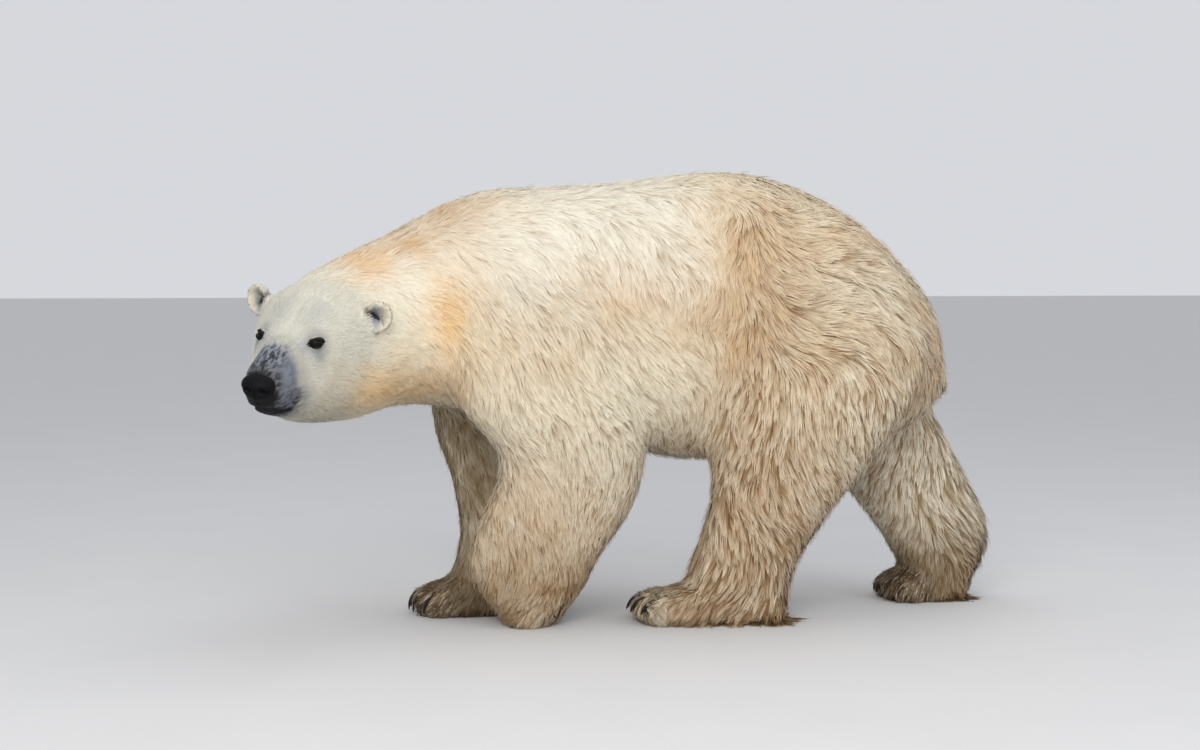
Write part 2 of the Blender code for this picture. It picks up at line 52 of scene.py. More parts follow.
# ---- named values ----
SEED = 11
SKIN_VOXEL = 0.0045
SKIN_TRIANGLES = 105000        # before the face is refined
FLESH_SWELL = 0.0008           # closes the thin cuts between the flesh nodes
BLEND_ROUNDS = 60              # how far the coats of neighbouring parts blend
FLOOR = 0.001                  # lowest height of skin and tufts; half of it at their edges
MUZZLE_FROM, CROWN_TO, PAW_REACH = 0.06, -0.06, 0.13    # where those coats begin or end
HEAD_YAW, HEAD_PITCH, HEAD_ROLL = 70.5, -11.0, 7.9
EYE_FORWARD, EYE_UP = 0.004, 0.037      # the eyes from the head's origin, in its axes
EYE_RADIUS = 0.0165
LID, LID_EDGE = 0.002, 0.0016           # thickness of the lids, and what their edges add
NOSE_FORWARD, NOSE_UP = 0.185, -0.031
NOSE_DEEP, NOSE_WIDE, NOSE_TOP, NOSE_FOOT = 0.029, 0.039, 0.03, 0.033
HOLE_DEEP, SLOT_DEEP, CLEFT_OF_NOSE = 0.011, 0.007, 0.0035
MOUTH_UP, MOUTH_CORNER = -0.088, 0.056
LIPS_DEEP, GROOVE_DEEP, FOLD_DEEP = 0.0055, 0.004, 0.0035
CLEFT_WIDE, CLEFT_DEEP = 0.0058, 0.0095    # between two toes
TAIL_HALF = (0.03, 0.056)      # half its breadth and half its height
TAIL_RISE, TROUGH_DEEP = 0.016, 0.01       # above the rump, and below it all round
CLAW_SHRINK, CLAW_ROOT = 0.0002, 0.008     # what a claw loses all round, gains into the toe
TUFTS = 270000
STATIONS = np.array([0.0, 0.38, 0.74, 1.0])    # places along a tuft, root to tip
BLADE = np.array([0.8, 1.0, 0.7, 0.0])         # its width at those places
RISE = (-0.1, 0.64, 0.94, 0.78)                # its height there, as a share of the depth
PATCH = 0.003                  # size of a tuft's patch on the unwrap
LOCK, BUNDLE = 9, 70           # tufts that gather in a lock, and in a bundle of locks
TO_LOCK, TO_BUNDLE = 0.8, 0.16     # how far their tips go to the middle of each
SWAY, STAND_OUT = 0.075, 0.65  # of waves, by a tuft's length; of single hairs, by its depth
MOST_TUFTS = 38000             # in one piece of the coat

# What the coat is like on each part: depth above the skin, length and width of a tuft, how
# many tufts lie over each other, how strongly they gather in locks, how wavy they are, and
# the share of single hairs that stand out from the rest.
DEPTH, LENGTH, WIDTH, COVER, LOCKS, WAVE, STRAY = range(7)
COAT = {
    "muzzle": (0.0012, 0.007, 0.0012, 1.2, 0.05, 0.0, 0.0),
    "face": (0.0035, 0.013, 0.0016, 2.4, 0.1, 0.05, 0.0),
    "crown": (0.0075, 0.027, 0.0024, 5.0, 0.15, 0.1, 0.02),
    "ear": (0.0045, 0.015, 0.0017, 4.2, 0.2, 0.1, 0.08),
    "neck": (0.011, 0.048, 0.003, 7.5, 0.2, 0.35, 0.05),
    "chest": (0.013, 0.056, 0.0033, 7.5, 0.2, 0.45, 0.06),
    "belly": (0.014, 0.062, 0.0034, 7.5, 0.42, 0.6, 0.08),
    "rump": (0.014, 0.062, 0.0034, 7.5, 0.56, 0.7, 0.1),
    "tail": (0.012, 0.055, 0.0032, 7.0, 0.6, 0.4, 0.1),
    "arm": (0.013, 0.054, 0.0032, 7.5, 0.45, 0.55, 0.08),
    "forearm": (0.012, 0.05, 0.0031, 7.5, 0.58, 0.7, 0.1),
    "forepaw": (0.008, 0.029, 0.0026, 6.0, 0.7, 0.5, 0.1),
    "thigh": (0.0145, 0.066, 0.0034, 7.5, 0.82, 0.65, 0.1),
    "shank": (0.014, 0.068, 0.0034, 7.5, 0.95, 0.75, 0.12),
    "hindpaw": (0.0085, 0.03, 0.0026, 6.0, 0.7, 0.5, 0.12),
}
REGIONS = list(COAT)
SIDES = {"left": 1.0, "right": -1.0}
NODE_REGION = {node.replace("*", side): region for node, region in {
    "head": "face", "jaw": "face", "ear_*": "ear", "neck": "neck", "chest": "chest",
    "belly": "belly", "rump": "rump", "tail": "tail",
    "foreleg_*_upper": "arm", "foreleg_*_lower": "forearm", "forepaw_*": "forepaw",
    "hindleg_*_upper": "thigh", "hindleg_*_lower": "shank", "hindpaw_*": "hindpaw",
}.items() for side in SIDES}
FLESH = list(NODE_REGION)
PAWS = [node for node in FLESH if "paw" in node]
SHINS = [node for node in FLESH if node.endswith("_lower")]
CLAWS = sorted(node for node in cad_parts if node.startswith("claw_"))
# Which way the tufts lie on each part; on the head they run back from the nose.
LIE = {
    "neck": (0.72, 0.5, -0.48), "chest": (0.72, 0.05, -0.62), "belly": (0.66, 0, -0.7),
    "rump": (0.8, 0, -0.6), "tail": (0.1, 0, -1), "arm": (0.55, 0, -0.84),
    "forearm": (0.25, 0, -1), "forepaw": (-0.35, 0, -0.9), "thigh": (0.42, 0, -0.9),
    "shank": (0, 0, -1), "hindpaw": (-0.55, 0, -0.8),
}
# Tufts let light through, so only this share of them casts shadows: most where locks are deep.
CASTING = {"hindleg": 0.55, "hindpaw": 0.6, "forepaw": 0.6, "foreleg": 0.3, "rump": 0.25}
CREAM = (0.86, 0.812, 0.66)
BACK_CREAM = (0.86, 0.835, 0.735)
JAW_SHADE = (0.5, 0.465, 0.36)
WHITE = (0.708, 0.705, 0.622)
PALE = (0.8, 0.74, 0.6)
TAN = (0.68, 0.49, 0.29)
ORANGE = (0.86, 0.61, 0.32)
SHADE_BROWN = (0.235, 0.17, 0.088)
BROWN = (0.4, 0.26, 0.125)
# painted shade: the clefts between the toes and the far paws
DARK_SHADE = (0.11, 0.075, 0.045)
# grey bare skin of the muzzle, and painted shade over the brows, round the eyes and in the ears'
# hollows
GREY_SKIN_AND_SHADE = (0.25, 0.28, 0.34)
# black bare skin, and painted shade in the ears' slits
BLACK_SKIN_AND_SHADE = (0.006, 0.006, 0.008)
DEEP_TINT = (0.48, 0.36, 0.25)     # painted shade: what the coat is multiplied by deep between the locks
SKIN_TINT = (0.88, 0.82, 0.73)     # and the skin under the coat, as painted shade
DRAWN_OUT = (3.5, 1, 1)            # noise along the head
HAIR_LINES = (1800, 500, 1)        # streaks across and along a tuft, on the unwrap
# Roughness and specular level of each material; the two colours that a noise mixes in some.
FINISH = {
    "coat": (0.6, 0.22), "skin": (0.7, 0.2), "claw_horn": (0.42, 0.18),
    "nose_leather": (0.55, 0.09), "eye_wet": (0.1, 0.14), "pale_floor": (0.85, 0.5),
}
TONES = {
    "claw_horn": ((0.004, 0.0035, 0.003), (0.022, 0.017, 0.013)),
    "nose_leather": ((0.006, 0.006, 0.007), (0.002, 0.002, 0.003)),
    "eye_wet": ((0.002, 0.002, 0.002), (0.006, 0.004, 0.003)),
    "pale_floor": ((0.62, 0.62, 0.63), (0.66, 0.66, 0.66)),
}
# Lights: place, what they aim at, size, power and colour.
LIGHTS = {
    "key": ((-1.4, -4.6, 2.6), (0, 0.1, 0.6), 3.4, 150, (1.0, 0.97, 0.92)),
    "top": ((0.4, 0.2, 4.5), (0, 0.2, 0.5), 3.6, 32, (1.0, 0.98, 0.95)),
    "fill": ((3.4, -3.0, 1.8), (0, 0.1, 0.6), 2.4, 34, (0.94, 0.96, 1.0)),
}
BACKGROUND, GLOW = (0.86, 0.88, 0.92, 1), 0.78
LENS, SENSOR = 57.69, 36.0     # millimetres
CAMERA_AIM, CAMERA_DISTANCE = (-0.094, 0.1749, 0.622), 5.0
CAMERA_AZIMUTH, CAMERA_ELEVATION = math.radians(-7.0), math.radians(3.5)


# ---- small helpers ----
def ease(low, high, value):
    """0 at low and before it, 1 at high and past it, smooth between them."""
    t = np.clip((value - low) / (high - low), 0, 1)
    return t * t * (3 - 2 * t)


def unit(vectors):
    return vectors / np.maximum(np.linalg.norm(vectors, axis=-1, keepdims=True), 1e-9)


def reach_of(vectors):
    """Their lengths."""
    return np.linalg.norm(vectors, axis=-1)


def from_nearest(points, places):
    """Distance from the nearest of a few places."""
    return np.min([reach_of(points - place) for place in places], axis=0)


def waves(points, size, seed):
    """Smooth noise between about -1 and 1, with features of the given size."""
    rng = np.random.default_rng(seed)
    total = np.zeros(len(points))
    for _ in range(7):
        way = unit(rng.normal(size=3)) * (math.tau / size) * rng.uniform(0.6, 1.5)
        total += np.sin(points @ way + rng.uniform(0, math.tau))
    return total / 2.6


def read_array(items, name, width, kind=np.float32):
    """One property of all the items of a mesh, a row for each."""
    flat = np.empty(len(items) * width, kind)
    items.foreach_get(name, flat)
    return flat.reshape(-1, width)


def write_array(items, name, values, kind=np.float32):
    items.foreach_set(name, values.astype(kind).ravel())


def vertex_array(mesh):
    return read_array(mesh.vertices, "co", 3).astype(float)


def normal_array(mesh):
    return read_array(mesh.vertex_normals, "vector", 3).astype(float)


def triangle_arrays(mesh):
    """The corners of each triangle as vertex numbers and as loop numbers."""
    mesh.calc_loop_triangles()
    return [read_array(mesh.loop_triangles, name, 3, np.int32) for name in ("vertices", "loops")]


def spread_out(values, mesh):
    """Average each vertex's values with its neighbours', over and over."""
    count = len(values)
    edges = read_array(mesh.edges, "vertices", 2, np.int32)
    both = np.concatenate([edges, edges[:, ::-1]])
    degree = np.bincount(both[:, 0], minlength=count)[:, None]
    for _ in range(BLEND_ROUNDS):
        sums = np.stack([np.bincount(both[:, 0], column[both[:, 1]], count)
                         for column in values.T], axis=1)
        values = 0.5 * values + 0.5 * sums / np.maximum(degree, 1)
    return values


def applied(thing):
    """The object with its modifiers worked into its mesh."""
    graph = bpy.context.evaluated_depsgraph_get()
    thing.data = bpy.data.meshes.new_from_object(thing.evaluated_get(graph))
    thing.modifiers.clear()
    return thing


def add_object(name, data):
    thing = bpy.data.objects.new(name, data)
    bpy.context.scene.collection.objects.link(thing)
    return thing


def points_of(shape):
    return np.array([vert.co for vert in shape.verts])


def to_object(shape, name):
    mesh = bpy.data.meshes.new(name)
    shape.to_mesh(mesh)
    shape.free()
    mesh.shade_smooth()
    return add_object(name, mesh)


def box_centre(node):
    low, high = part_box(node)
    return np.array((low + high) / 2)


# ---- the head's own axes ----
HEAD_TURN = (Matrix.Rotation(math.radians(HEAD_YAW), 3, "Z")
             @ Matrix.Rotation(math.radians(HEAD_PITCH), 3, "Y")
             @ Matrix.Rotation(math.radians(HEAD_ROLL), 3, "X"))
HEAD_AXES = np.array(HEAD_TURN).T * [[-1], [-1], [1]]   # forward, left, up
EYES, EARS = ({side: box_centre(part + side) for side in SIDES} for part in ("eye_", "ear_"))
HEAD_ORIGIN = ((EYES["left"] + EYES["right"]) / 2
               - HEAD_AXES.T @ (EYE_FORWARD, 0, EYE_UP))


def in_head(points):
    """Forward, left and up of the head's origin."""
    return (np.atleast_2d(points) - HEAD_ORIGIN) @ HEAD_AXES.T


def on_head(forward, left, up):
    return HEAD_ORIGIN + HEAD_AXES.T @ (forward, left, up)


def eye_axes(side):
    """Outward, along the slit towards the ear, and up, for one eye."""
    out = unit(HEAD_AXES[0] * 0.62 + HEAD_AXES[1] * 0.62 * SIDES[side] + HEAD_AXES[2] * 0.12)
    back = unit(-HEAD_AXES[0] + HEAD_AXES[1] * SIDES[side] + HEAD_AXES[2] * 0.18)
    back = unit(back - out * (back @ out))
    return out, back, np.cross(out, back) * SIDES[side]


def from_eyes(points):
    """Distance from the middle of the nearer eye."""
    return from_nearest(points, EYES.values())


def from_ears(points):
    return from_nearest(points, EARS.values())


def from_claws(points):
    return from_nearest(points, [box_centre(node) for node in CLAWS])


# ---- the skin ----
def nearest_nodes(points):
    """For each point the flesh node that it lies on."""
    corners, faces, owners, start = [], [], [], 0
    for name in FLESH:
        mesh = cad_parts[name].data
        triangles, _ = triangle_arrays(mesh)
        corners.append(vertex_array(mesh))
        faces.append(triangles + start)
        owners += [FLESH.index(name)] * len(triangles)
        start += len(mesh.vertices)
    tree = BVHTree.FromPolygons(np.concatenate(corners).tolist(),
                                np.concatenate(faces).tolist())
    found = [tree.find_nearest(point)[2] for point in points.tolist()]
    return np.array(owners)[found]


def region_weights(mesh):
    """How much of each coat region every vertex of the skin has, blended at the borders."""
    points = vertex_array(mesh)
    numbers = np.array([REGIONS.index(NODE_REGION[name]) for name in FLESH])
    region = numbers[nearest_nodes(points)]
    forward, _, up = in_head(points).T
    head = region == REGIONS.index("face")
    region[head & (forward > MUZZLE_FROM)] = REGIONS.index("muzzle")
    region[head & (forward < CROWN_TO - 0.5 * np.minimum(up, 0))] = REGIONS.index("crown")
    for paw, coat in (("forepaw", "forearm"), ("hindpaw", "shank")):
        behind = from_claws(points) > PAW_REACH
        region[(region == REGIONS.index(paw)) & behind] = REGIONS.index(coat)
    return spread_out(np.eye(len(REGIONS))[region], mesh)


def of_coat(weights, column):
    """One column of COAT, blended as the regions are."""
    return weights @ np.array([row[column] for row in COAT.values()])


def grow_skin():
    """One closed surface over all the flesh nodes and the lids, at the flesh's own outline."""
    whole = bmesh.new()
    for name in FLESH:
        whole.from_mesh(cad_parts[name].data)
    bmesh.ops.remove_doubles(whole, verts=whole.verts, dist=0.00001)
    whole.normal_update()
    for vert in whole.verts:
        vert.co += vert.normal * FLESH_SWELL
    for centre in EYES.values():
        bmesh.ops.create_icosphere(whole, subdivisions=3, radius=EYE_RADIUS + LID,
                                   matrix=Matrix.Translation(Vector(centre)))
    skin = to_object(whole, "skin")
    remesh = skin.modifiers.new("grow", "REMESH")
    remesh.mode = "VOXEL"
    remesh.voxel_size = SKIN_VOXEL
    return applied(skin)


def weigh(skin, name, weights):
    """A vertex group with these weights, to the nearest hundredth; gives its name."""
    group = skin.vertex_groups.new(name=name)
    steps = np.round(weights, 2)
    for value in np.unique(steps):
        group.add(np.flatnonzero(steps == value).tolist(), float(value), "REPLACE")
    return group.name


def soften_and_thin(skin):
    """Lose the flats of the solids, most on the body, and spend the triangles on the head."""
    points = vertex_array(skin.data)
    head = in_head(points)
    near_face = ease(0.19, 0.12, reach_of(head - (0.05, 0, -0.02)))
    foot = ease(0.17, 0.09, points[:, 2])
    ear = ease(0.07, 0.05, from_ears(points))
    tail = ease(0.095, 0.055, reach_of(points - box_centre("tail")))
    fine = np.maximum(np.maximum(near_face, foot), tail)
    high = ease(0.42, 0.6, points[:, 2]) * (1 - ear) * (1 - tail)
    for name, rounds, share in (
            ("soften", 60, 1.0 - np.maximum(0.8 * fine, 0.76 * ear)),
            ("trunk", 170, high * (1 - near_face))):
        smooth = skin.modifiers.new(name, "SMOOTH")
        smooth.factor = 0.5
        smooth.iterations = rounds
        smooth.vertex_group = weigh(skin, name, share)
    thin = skin.modifiers.new("thin", "DECIMATE")
    thin.ratio = SKIN_TRIANGLES / (2 * len(skin.data.polygons))
    keep = np.maximum(np.maximum(near_face, ear), 0.55 * foot)
    thin.vertex_group = weigh(skin, "thin", 1.0 - keep)
    applied(skin)
    skin.vertex_groups.clear()


def halve(shape, close):
    """Halve the edges that have both ends among the chosen vertices."""
    edges = [edge for edge in shape.edges
             if close[edge.verts[0].index] and close[edge.verts[1].index]]
    bmesh.ops.subdivide_edges(shape, edges=edges, cuts=1, use_grid_fill=True)
    bmesh.ops.triangulate(shape, faces=shape.faces)
    shape.verts.index_update()


def refine_face(skin):
    """Smaller triangles on the muzzle and the ears, and smaller still on the lids."""
    shape = bmesh.new()
    shape.from_mesh(skin.data)
    points = points_of(shape)
    forward, left, up = in_head(points).T
    close = (forward > 0.045) & (np.abs(left) < 0.09) & (np.abs(up) < 0.16)
    close |= (from_eyes(points) < 0.045) | (from_ears(points) < 0.06)
    halve(shape, close)
    points = points_of(shape)
    halve(shape, from_eyes(points) < 0.027)
    shape.to_mesh(skin.data)
    shape.free()


def lid_shape(points, side):
    """Where a point is on the eye: place along the slit, above it, outward; and distance."""
    out, back, up = eye_axes(side)
    away = points - EYES[side]
    way = unit(away)
    return way @ back, way @ up, way @ out, reach_of(away)


def slit(along, above):
    """Below 1 inside the slit between the lids, 1 on its edge."""
    half = np.where(above > 0, 0.48, 0.36) * np.clip(1 - (along / 0.92) ** 2, 0.02, 1)
    return np.abs(above) / half


def eye_ring(along, above):
    """Below 1 on the black rims of the lids, an almond wider than the slit."""
    half = np.where(above > 0, 0.86, 0.72) * np.clip(1 - (along / 1.8) ** 2, 0.02, 1)
    return np.maximum(np.abs(above) / half, np.abs(along) / 1.65)


def mouth_line(forward):
    """Height of the line between the lips: lower behind the nose, up again at its corner."""
    return (MOUTH_UP - 0.016 * ease(0.165, 0.105, forward)
            + 0.014 * ease(0.082, MOUTH_CORNER, forward))


def between_toes(points):
    """1 in the clefts between the toes, midway between two neighbouring claws; and how near
    the claws are."""
    cleft, near = np.zeros(len(points)), np.zeros(len(points))
    low = points[:, 2] < 0.16
    for paw in PAWS:
        claws = np.array([box_centre(f"claw_{paw}_{i}") for i in range(1, 6)])
        away = reach_of(points[low, None] - claws[None])
        first, second = np.sort(np.argsort(away, axis=1)[:, :2], axis=1).T
        rows = np.arange(len(away))
        gap = reach_of(claws[first] - claws[second])
        off = (away[rows, first] ** 2 - away[rows, second] ** 2) / (2 * gap)
        reach = away.min(axis=1)
        here = np.exp(-(off / CLEFT_WIDE) ** 2) * ease(0.085, 0.045, reach)
        cleft[low] = np.maximum(cleft[low], here)
        near[low] = np.maximum(near[low], ease(0.045, 0.012, reach))
    return cleft, near


def round_tail(points):
    """1 on the tail, and 1 in the trough round it."""
    middle = box_centre("tail")
    across, up = ((points - middle)[:, 1:] / TAIL_HALF).T
    reach = np.hypot(across, up) + 9 * (points[:, 0] < middle[0] - 0.1)
    return ease(1.05, 0.6, reach), np.exp(-((reach - 1.35) / 0.22) ** 2)


def shape_head(points, normals):
    """Lids round the eyes, the mouth, the lips and the folds of the face."""
    for side in SIDES:
        along, above, out, reach = lid_shape(points, side)
        opening = slit(along, above)
        near = ease(EYE_RADIUS + 0.016, EYE_RADIUS + 0.005, reach) * (out > 0.12)
        lid = EYE_RADIUS + LID + LID_EDGE * ease(1.7, 1.05, opening)
        target = np.where(opening < 1.0, EYE_RADIUS - 0.003, lid)
        near = np.where(opening < 1.0, (reach < EYE_RADIUS + 0.02) & (out > 0.3), near)
        moved = reach + (target - reach) * near
        points = EYES[side] + unit(points - EYES[side]) * moved[:, None]
    forward, left, up = in_head(points).T
    lips = ease(0.006, 0.001, np.abs(up - mouth_line(forward)))
    lips *= ease(MOUTH_CORNER - 0.012, MOUTH_CORNER + 0.006, forward)
    points -= normals * (lips * LIPS_DEEP)[:, None]
    # the groove below the nose
    groove = ease(0.005, 0.001, np.abs(left)) * ease(0.15, 0.17, forward)
    groove *= ease(-0.088, -0.075, up) * ease(-0.03, -0.05, up)
    points -= normals * (groove * GROOVE_DEEP)[:, None]
    # the shallow fold up the middle of the forehead
    fold = ease(0.016, 0.0, np.abs(left)) * ease(-0.13, -0.06, forward)
    fold *= ease(0.05, 0.0, forward) * (up > 0)
    return points - normals * (fold * FOLD_DEEP)[:, None]


def make_skin():
    """The skin, unwrapped and painted, and how much of each coat region its vertices have."""
    skin = grow_skin()
    soften_and_thin(skin)
    refine_face(skin)
    mesh = skin.data
    depth = of_coat(region_weights(mesh), DEPTH)
    points, normals = vertex_array(mesh), normal_array(mesh)
    for centre in EYES.values():
        depth *= ease(EYE_RADIUS, EYE_RADIUS + 0.03, reach_of(points - centre))
    points -= normals * depth[:, None]
    points = shape_head(points, normals)
    points -= normals * (between_toes(points)[0] * CLEFT_DEEP)[:, None]
    tail, trough = round_tail(points)
    points += normals * (TAIL_RISE * tail - TROUGH_DEEP * trough)[:, None]
    points[:, 2] = np.maximum(points[:, 2], FLOOR)
    write_array(mesh.vertices, "co", points)
    mesh.update()
    mesh.shade_smooth()
    bpy.context.view_layer.objects.active = skin
    skin.select_set(True)
    bpy.ops.object.mode_set(mode="EDIT")
    bpy.ops.mesh.select_all(action="SELECT")
    bpy.ops.uv.smart_project(angle_limit=math.radians(66), island_margin=0.002)
    bpy.ops.object.mode_set(mode="OBJECT")
    mesh = skin.data
    mesh.uv_layers.active.name = "OFBake"
    paint(mesh, markings_and_shade(vertex_array(mesh)))
    return skin, region_weights(mesh)


# ---- markings and painted shade ----
# Stains of the coat, and painted shade on the far legs and paws, under the tail, over the
# nape and under the jaw: place and reach along x and z, colour, strength, and place and
# reach along y where they don't go right across the body.
ACROSS = (0.1, 0.9)
STAINS_AND_SHADE = [
    (-0.722, 0.905, 0.055, 0.038, ORANGE, 0.9, 0, 0.2),  # nape
    # painted shade: a darker tan over the nape
    (-0.74, 0.89, 0.06, 0.04, TAN, 0.35, 0, 0.2),
    (-0.625, 0.95, 0.075, 0.045, TAN, 0.78, 0, 0.3),
    (-0.52, 1.02, 0.08, 0.055, TAN, 0.7),  # top of the shoulders
    (-0.42, 1.05, 0.09, 0.04, TAN, 0.4),
    (-0.51, 0.8, 0.075, 0.11, ORANGE, 0.78, 0, 0.9),  # side of the neck
    (-0.665, 0.622, 0.095, 0.055, ORANGE, 1.0, 0, 0.4),  # throat and cheek
    # painted shade: a darker tan on the throat under the jaw
    (-0.69, 0.615, 0.09, 0.05, TAN, 0.35, 0, 0.4),
    (-0.54, 0.63, 0.11, 0.075, TAN, 0.7, 0, 0.9),
    (-0.42, 0.85, 0.08, 0.09, TAN, 0.25),  # shoulder
    (-0.29, 0.7, 0.15, 0.12, TAN, 0.4),
    (-0.11, 0.87, 0.15, 0.075, TAN, 0.44),  # ribs
    (0.02, 0.81, 0.19, 0.1, TAN, 0.4),
    (0.235, 0.8, 0.09, 0.23, BROWN, 0.38),  # before the haunch
    (0.235, 0.84, 0.12, 0.24, TAN, 0.85),
    (0.44, 1.0, 0.26, 0.11, TAN, 0.54),  # over the rump
    (0.45, 0.68, 0.24, 0.2, TAN, 0.55),  # haunch
    (0.72, 0.68, 0.1, 0.2, TAN, 0.64),  # behind the haunch
    (0.26, 0.5, 0.13, 0.13, BROWN, 0.12, 0, 0.16),  # left thigh
    (0.8, 0.535, 0.08, 0.022, BROWN, 0.75, 0.1745, 0.035),  # painted shadow under the tail
    (0.3, 0.3, 0.22, 0.3, TAN, 0.7, 0, 0.16),  # left shank
    (0.3, 0.2, 0.22, 0.2, BROWN, 0.22, 0, 0.16),
    (-0.27, 0.3, 0.2, 0.17, TAN, 0.7, 0, 0.17),  # left forearm
    (-0.3, 0.12, 0.17, 0.14, BROWN, 0.92, 0, 0.17),  # left wrist
    (-0.4, 0.4, 0.22, 0.34, SHADE_BROWN, 1.05, 0.27, 0.14),  # right foreleg: painted shadow
    (-0.4, 0.04, 0.24, 0.13, SHADE_BROWN, 1.2, 0.23, 0.15),  # right forepaw: painted shadow, in this row and the next
    (-0.44, 0.03, 0.11, 0.055, DARK_SHADE, 1.0, 0.2, 0.14),
    (0.83, 0.05, 0.26, 0.17, SHADE_BROWN, 1.1, 0.26, 0.17),  # right hind paw: painted shadow, in this row and the next
    (0.79, 0.065, 0.09, 0.055, DARK_SHADE, 1.0, 0.24, 0.15),
    (0.89, 0.07, 0.08, 0.08, TAN, 0.55, 0.26, 0.17),  # its heel
]


def markings_and_shade(points):
    """Colour of the coat and skin at each point, painted shade included, and how far it is bare,
    streaked skin.
    """
    x, y, z = points.T
    forward, left, up = in_head(points).T
    from_face = reach_of(in_head(points) - (0.02, 0.0, -0.03))
    colour = np.tile(CREAM, (len(points), 1))

    def blend(other, share):
        colour[:] += (np.array(other) - colour) * np.clip(share, 0, 1)[:, None]

    blend(BACK_CREAM, ease(0.72, 0.92, z) * ease(0.25, 0.0, x))
    # painted shade: the lower body and legs a little darker
    blend(PALE, ease(0.62, 0.48, z) * 0.75)
    head = ease(0.33, 0.17, from_face)
    blend(WHITE, head)
    blend(JAW_SHADE, head * 0.6 * ease(-0.055, -0.15, up))
    patchy = 0.5 + 0.5 * waves(points, 0.11, 3)
    streaky = np.clip(0.5 + 0.7 * waves(points * (1, 1, 0.45), 0.035, 9), 0, 1)
    toes = ease(0.085, 0.045, from_claws(points)) * (y < 0.13)
    low = ease(0.24, 0.02, z) * (1 - 0.75 * toes)
    blend(BROWN, low * (0.42 + 0.28 * patchy + 0.16 * streaky))
    for sx, sz, rx, rz, tint, strength, *across in STAINS_AND_SHADE:
        sy, ry = across or ACROSS
        spot = np.exp(-((x - sx) / rx) ** 2 - ((y - sy) / ry) ** 2 - ((z - sz) / rz) ** 2)
        blend(tint, spot * strength * (0.58 + 0.4 * patchy + 0.28 * streaky))
    # painted shade in the trough round the tail
    blend(BROWN, 0.5 * round_tail(points)[1])
    cleft, claw = between_toes(points)
    # painted shade in the clefts between the toes, and a little darker round the claws
    blend(DARK_SHADE, np.maximum(cleft ** 0.5 * 0.98, claw * 0.2))
    # painted shade: grey over the brows
    brow = np.exp(-((up - 0.085) / 0.03) ** 2 - ((np.abs(left) - 0.035) / 0.03) ** 2)
    blend(GREY_SKIN_AND_SHADE, head * brow * 0.3 * (forward > -0.08))
    # the muzzle: grey skin with dark streaks, black near the nose and along the lips
    front = ease(0.26, 0.2, from_face)
    low = ease(-0.034, -0.074, up)
    reach_back = forward + 0.022 * low - 0.1 * np.maximum(np.abs(left) - 0.03, 0)
    grey = front * (0.3 * ease(0.025, 0.075, reach_back)
                    + 0.7 * ease(0.066, 0.108, reach_back))
    blend(GREY_SKIN_AND_SHADE, grey)
    blend(BLACK_SKIN_AND_SHADE, grey * 0.34 * np.maximum(low, ease(0.13, 0.17, forward)))
    bridge = ease(0.04, 0.018, np.abs(left)) * ease(-0.03, 0.0, up)
    streaks = grey ** 1.3 * (0.3 + 0.7 * np.maximum(bridge, low))
    streaks = np.maximum(streaks, grey * ease(0.138, 0.172, forward))
    line = mouth_line(forward)
    lips = ease(0.014, 0.004, np.abs(up - line)) * ease(0.062, 0.08, forward)
    chin = ease(0.004, -0.004, up - line) * ease(0.095, 0.125, forward)
    nearby = ease(0.168, 0.188, forward + 0.014 * ease(-0.03, -0.06, up))
    dark = np.maximum(np.maximum(lips * 0.95, chin), nearby) * front
    blend(BLACK_SKIN_AND_SHADE, dark)
    for side in SIDES:
        along, above, out, reach = lid_shape(points, side)
        # painted shade: grey round the eye, at its inner corner and below it
        inner = on_eye(forward, left * SIDES[side], up, (0.042, 0.05, 0.036), 0.02)
        below = on_eye(forward, left * SIDES[side], up, (0.018, 0.074, 0.008), 0.024)
        haze = 0.5 * np.exp(-((reach - 0.016) / 0.016) ** 2) + 0.55 * inner + 0.45 * below
        blend(GREY_SKIN_AND_SHADE, haze * (1 - grey))
        ring = eye_ring(along * reach / EYE_RADIUS, above * reach / EYE_RADIUS)
        close = ease(EYE_RADIUS + 0.022, EYE_RADIUS + 0.012, reach) * (out > 0)
        blend(BLACK_SKIN_AND_SHADE, ease(1.12, 0.92, ring) * close)
        # painted shade: grey in the ear's hollow, black in its slit
        hollow, core = in_ear(points, side)
        blend(GREY_SKIN_AND_SHADE, hollow * 0.85)
        blend(BLACK_SKIN_AND_SHADE, core * 0.95)
    return np.column_stack([colour, streaks])


def on_eye(forward, outward, up, place, size):
    """A soft round spot beside the eye."""
    away = (forward - place[0]) ** 2 + (outward - place[1]) ** 2 + (up - place[2]) ** 2
    return np.exp(-away / size ** 2)


def in_ear(points, side):
    """How far a point is inside the hollow of an ear, and in its slanting dark slit."""
    away = (points - EARS[side]) @ HEAD_AXES.T
    outward = away[:, 1] * SIDES[side] + 0.01
    up = away[:, 2] - 0.002
    within = (away[:, 0] > -0.0135) & (away[:, 0] < 0.03)
    hollow = ease(1.25, 0.4, np.hypot(outward / 0.021, (up + 0.004) / 0.031))
    core = ease(1.3, 0.4, np.hypot((0.6 * outward - 0.8 * up) / 0.025,
                                   (0.8 * outward + 0.6 * up) / 0.0095))
    return hollow * within, core * within


def paint(mesh, marks):
    layer = mesh.color_attributes.new(name="markings_and_shade", type="FLOAT_COLOR", domain="POINT")
    write_array(layer.data, "color", marks)


# ---- the coat ----
def turned(vectors, axes, angles):
    """Vectors turned about unit axes that are at right angles to them."""
    return (vectors * np.cos(angles)[:, None]
            + np.cross(axes, vectors) * np.sin(angles)[:, None])


